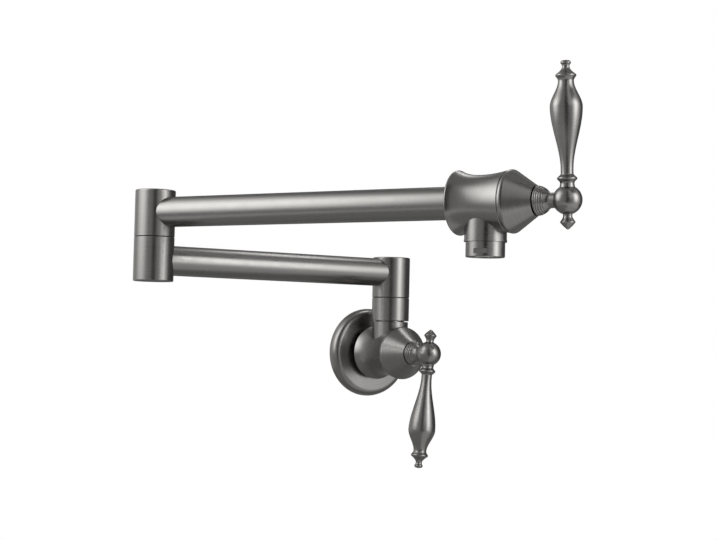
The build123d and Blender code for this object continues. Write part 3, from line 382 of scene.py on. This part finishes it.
def seen_directly(tree):
    """1 for camera, glossy and transmission rays, which see the background, and 0 for the rest."""
    path = node(tree, "ShaderNodeLightPath").outputs
    seen = path["Is Camera Ray"]
    for kind in ("Is Glossy Ray", "Is Transmission Ray"):
        seen = node(tree, "ShaderNodeMath", {"operation": "MAXIMUM"},
                    {0: seen, 1: path[kind]}).outputs[0]
    return seen


def white_world():
    """White backdrop, which lights diffuse surfaces at AMBIENT and is seen at full white."""
    world = bpy.data.worlds.new("studio")
    bpy.context.scene.world = world
    world.use_nodes = True
    tree = world.node_tree
    tree.nodes.clear()
    ambient = node(tree, "ShaderNodeBackground",
                   inputs={"Color": WHITE, "Strength": AMBIENT}).outputs[0]
    backdrop = node(tree, "ShaderNodeBackground",
                    inputs={"Color": WHITE, "Strength": 1.0}).outputs[0]
    both = node(tree, "ShaderNodeMixShader",
                inputs={0: seen_directly(tree), 1: ambient, 2: backdrop}).outputs[0]
    node(tree, "ShaderNodeOutputWorld", inputs={"Surface": both})


# ---------------------------------------------------------------- floor
FLOOR_Z = -0.5
FLOOR_RADIUS = 2.2
FLOOR_SIDES = 96
FADE_FROM, FADE_TO = 0.5, 0.98     # shares of the radius between which the floor fades to white
PAPER_SEEN = (0.5, 0.5, 0.5, 1)    # paper as the camera and the metal see it, so that shadows show
PAPER_GLOW = 0.6                   # lifts that paper to nearly white
PAPER_BOUNCE = (0.8, 0.8, 0.8, 1)  # paper as it sends light back up to the part


def floor():
    """Round pale paper below the part: matt, with the part's soft shadow, fading into the white."""
    ring = np.linspace(0, 2 * np.pi, FLOOR_SIDES + 1)[:-1]
    points = np.stack([MIDDLE.x + FLOOR_RADIUS * np.cos(ring),
                       MIDDLE.y + FLOOR_RADIUS * np.sin(ring),
                       np.full_like(ring, FLOOR_Z)], axis=1)
    mesh = bpy.data.meshes.new("floor")
    mesh.from_pydata(points.tolist(), [], [list(range(FLOOR_SIDES))])
    made = bpy.data.objects.new("floor", mesh)
    bpy.context.scene.collection.objects.link(made)
    material, tree = new_material("floor_pale_paper")
    seen = node(tree, "ShaderNodeBsdfDiffuse", inputs={"Color": PAPER_SEEN}).outputs[0]
    glow = node(tree, "ShaderNodeEmission",
                inputs={"Color": WHITE, "Strength": PAPER_GLOW}).outputs[0]
    lit = node(tree, "ShaderNodeAddShader", inputs={0: seen, 1: glow}).outputs[0]
    bounce = node(tree, "ShaderNodeBsdfDiffuse", inputs={"Color": PAPER_BOUNCE}).outputs[0]
    paper = node(tree, "ShaderNodeMixShader",
                 inputs={0: seen_directly(tree), 1: bounce, 2: lit}).outputs[0]
    place = node(tree, "ShaderNodeTexCoord").outputs["Object"]
    out = node(tree, "ShaderNodeVectorMath", {"operation": "DISTANCE"},
               {0: place, 1: (MIDDLE.x, MIDDLE.y, FLOOR_Z)}).outputs["Value"]
    fade = node(tree, "ShaderNodeMapRange", {"interpolation_type": "SMOOTHSTEP"},
                {"Value": out, "From Min": FADE_FROM * FLOOR_RADIUS,
                 "From Max": FADE_TO * FLOOR_RADIUS, "To Min": 0.0, "To Max": 1.0}).outputs[0]
    edge = node(tree, "ShaderNodeEmission", inputs={"Color": WHITE, "Strength": 1.0}).outputs[0]
    both = node(tree, "ShaderNodeMixShader", inputs={0: fade, 1: paper, 2: edge}).outputs[0]
    node(tree, "ShaderNodeOutputMaterial", inputs={"Surface": both})
    mesh.materials.append(material)


white_world()
floor()

# ---------------------------------------------------------------- camera
# Fitted to the outlines in the photo together with the arms' angles.
PHOTO_WIDTH = 716
FOCAL_PIXELS = 1649.7
SENSOR = 36.0
CAMERA_PLACE = Vector((-696.37, -1154.70, 1.21)) * MM
CAMERA_PITCH = math.radians(2.794)
CAMERA_ROLL = math.radians(1.354)
NEAR_CLIP = 0.01


def camera():
    """Camera turned from +Y to the right by VIEW_YAW, then pitched up, then rolled."""
    look = FORWARD * math.cos(CAMERA_PITCH) + UP * math.sin(CAMERA_PITCH)
    up = RIGHT.cross(look)
    right = RIGHT * math.cos(CAMERA_ROLL) + up * math.sin(CAMERA_ROLL)
    top = -RIGHT * math.sin(CAMERA_ROLL) + up * math.cos(CAMERA_ROLL)
    data = bpy.data.cameras.new("camera")
    data.sensor_width = SENSOR
    data.lens = FOCAL_PIXELS * SENSOR / PHOTO_WIDTH
    data.clip_start = NEAR_CLIP
    made = bpy.data.objects.new("camera", data)
    bpy.context.scene.collection.objects.link(made)
    turn = Matrix((right, top, -look)).transposed()
    made.matrix_world = Matrix.Translation(CAMERA_PLACE) @ turn.to_4x4()
    bpy.context.scene.camera = made


camera()
bpy.context.scene.view_settings.view_transform = "Standard"
